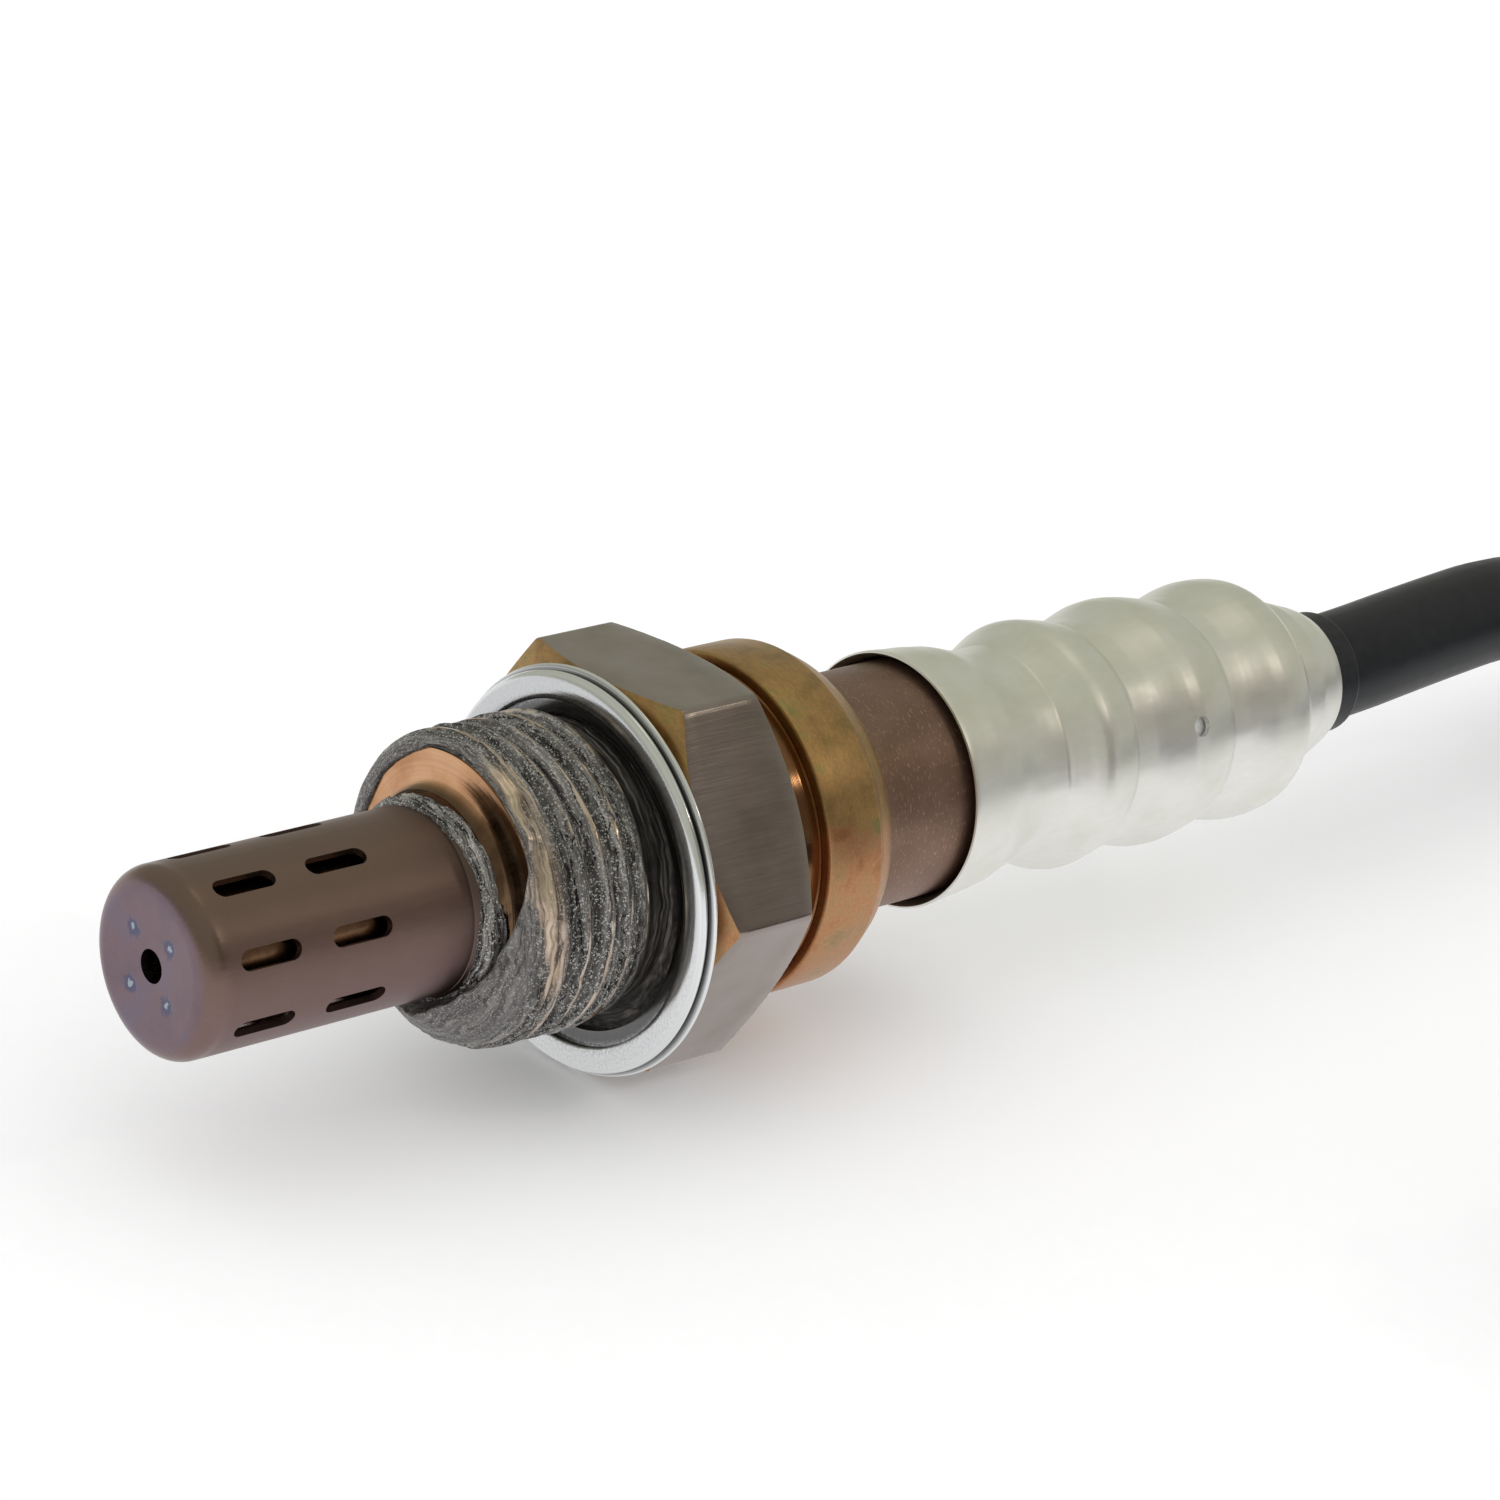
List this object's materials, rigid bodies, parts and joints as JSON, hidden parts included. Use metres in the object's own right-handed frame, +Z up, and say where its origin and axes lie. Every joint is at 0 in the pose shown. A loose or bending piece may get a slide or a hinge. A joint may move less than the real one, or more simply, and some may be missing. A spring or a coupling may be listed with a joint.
{
  "type": "oxygen sensor",
  "caption": "Heated exhaust oxygen sensor: slotted protection tube, threaded hexagon shell, crimped cover, and a lead in a tied coil ending in a sealed plug.",
  "frame": {"origin": "middle of the sensor's length, without its lead, on the surface it lies on, under its axis", "axes": "+X along the sensor from the sensing tip to the lead, +Z up"},
  "size_m": [0.2061, 0.0873, 0.0237],
  "materials": {
    "heat_tinted_steel": "satin stainless steel with a brown heat tint",
    "heat_tinted_shell": "turned stainless steel with a brown and bronze heat tint",
    "liner_steel": "satin stainless steel",
    "gasket_steel": "bright rolled stainless sheet",
    "satin_steel": "satin drawn stainless sheet",
    "zirconia": "fired zirconia, off-white",
    "alumina": "fired alumina, white",
    "steatite": "fired steatite, cream",
    "talc": "pressed talc powder, matt",
    "contact_nickel": "bright nickel alloy sheet",
    "wire_grey": "smooth insulation",
    "wire_black": "smooth insulation",
    "wire_white": "smooth insulation",
    "ptfe": "porous white film",
    "grommet_rubber": "moulded black rubber",
    "lead_jacket": "smooth black tubing with a soft sheen",
    "tie_plastic": "black nylon",
    "plug_plastic": "moulded dark grey nylon",
    "terminal_brass": "stamped brass",
    "retainer_plastic": "moulded white plastic",
    "silicone": "orange silicone rubber"
  },
  "bodies": {
    "root": {"outer_protection_tube": "heat_tinted_steel", "inner_protection_tube": "liner_steel", "shell": "heat_tinted_shell", "gasket": "gasket_steel", "element_washer": "liner_steel", "zirconia_element": "zirconia", "heater_rod": "alumina", "powder_packing": "talc", "insulator_sleeve": "alumina", "crimp_ring": "liner_steel", "inner_sleeve": "heat_tinted_steel", "contact_holder": "steatite", "ground_contact": "contact_nickel", "signal_contact": "contact_nickel", "heater_contact_1": "contact_nickel", "heater_contact_2": "contact_nickel", "wire_1": "wire_grey", "wire_2": "wire_black", "wire_3": "wire_white", "wire_4": "wire_white", "filter_tube": "ptfe", "grommet": "grommet_rubber", "outer_cover": "satin_steel", "cable": "lead_jacket", "cable_coil": "lead_jacket", "coil_tie": "tie_plastic", "cable_tail": "lead_jacket", "connector_boot": "grommet_rubber", "connector_housing": "plug_plastic", "terminal_1": "terminal_brass", "terminal_2": "terminal_brass", "terminal_3": "terminal_brass", "terminal_4": "terminal_brass", "terminal_retainer": "retainer_plastic", "connector_seal": "silicone"}
  },
  "joints": []
}
